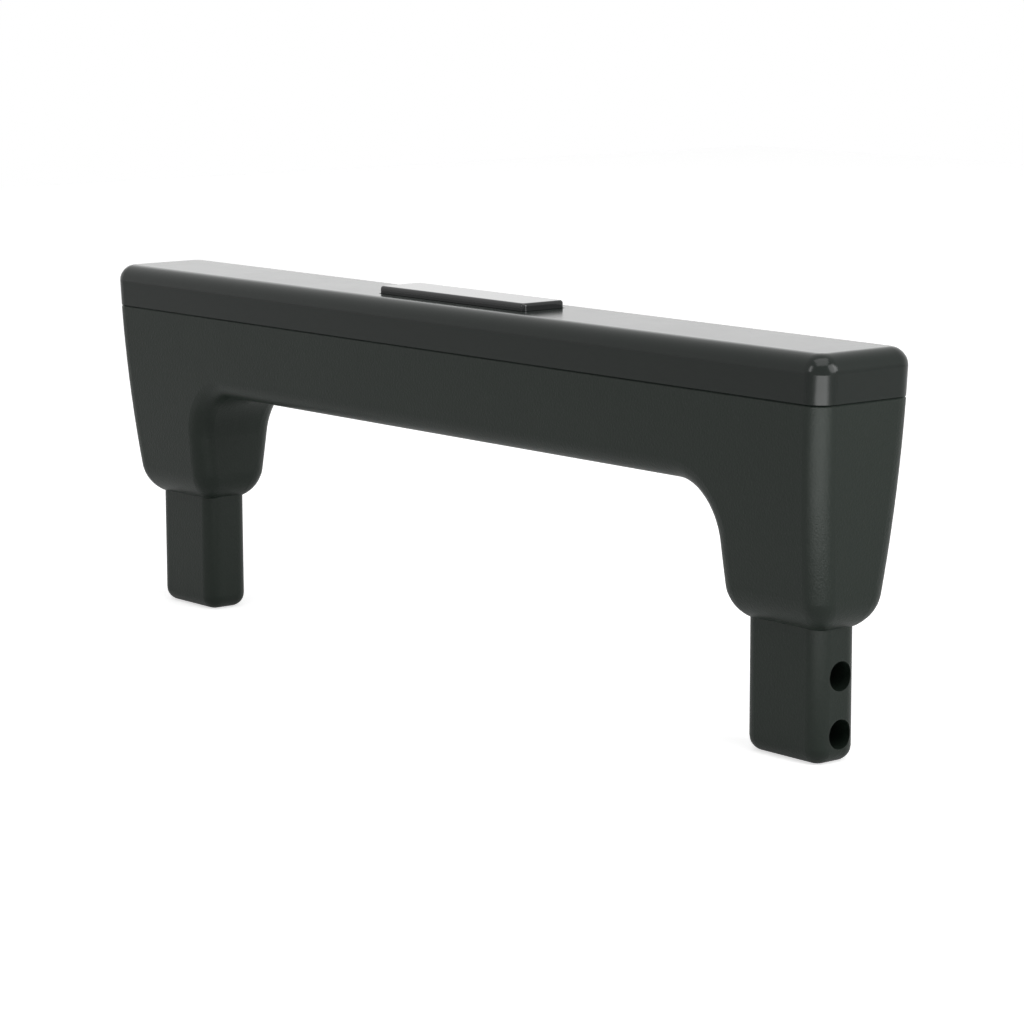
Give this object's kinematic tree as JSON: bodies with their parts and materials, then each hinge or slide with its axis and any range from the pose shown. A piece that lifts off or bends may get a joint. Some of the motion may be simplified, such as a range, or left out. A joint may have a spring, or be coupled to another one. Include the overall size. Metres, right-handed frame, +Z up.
{
  "type": "bridge pull handle",
  "caption": "Slim bridge grip for a pull-out trolley handle, with a sprung release button in its top and flat posts that slide into the tubes.",
  "frame": {"origin": "midway between the two posts, on the plane of their lower ends", "axes": "+X along the grip towards the right-hand post, +Y from front to back, +Z up towards the button"},
  "size_m": [0.1996, 0.0212, 0.0684],
  "materials": {
    "housing": "finely grained, satin",
    "cover": "smooth, semi-gloss",
    "button": "smooth, gloss",
    "crossbar": "natural moulding",
    "rod": "drawn, zinc plated",
    "spring": "spring wire",
    "screw": "zinc plated"
  },
  "bodies": {
    "grip": {"grip_housing": "housing", "top_cover": "cover", "cover_screws": "screw", "return_spring_right": "spring", "return_spring_left": "spring"},
    "button_group": {"push_button": "button", "crossbar": "crossbar", "release_rod_right": "rod", "release_rod_left": "rod"}
  },
  "joints": [
    {"name": "button_press", "type": "slide", "parent": "grip", "child": "button_group", "axis": [0, 0, -1], "range_m": [0, 0.005], "stiffness_N_per_m": 900, "springref_m": -0.006, "deforming": ["return_spring_right", "return_spring_left"]}
  ]
}
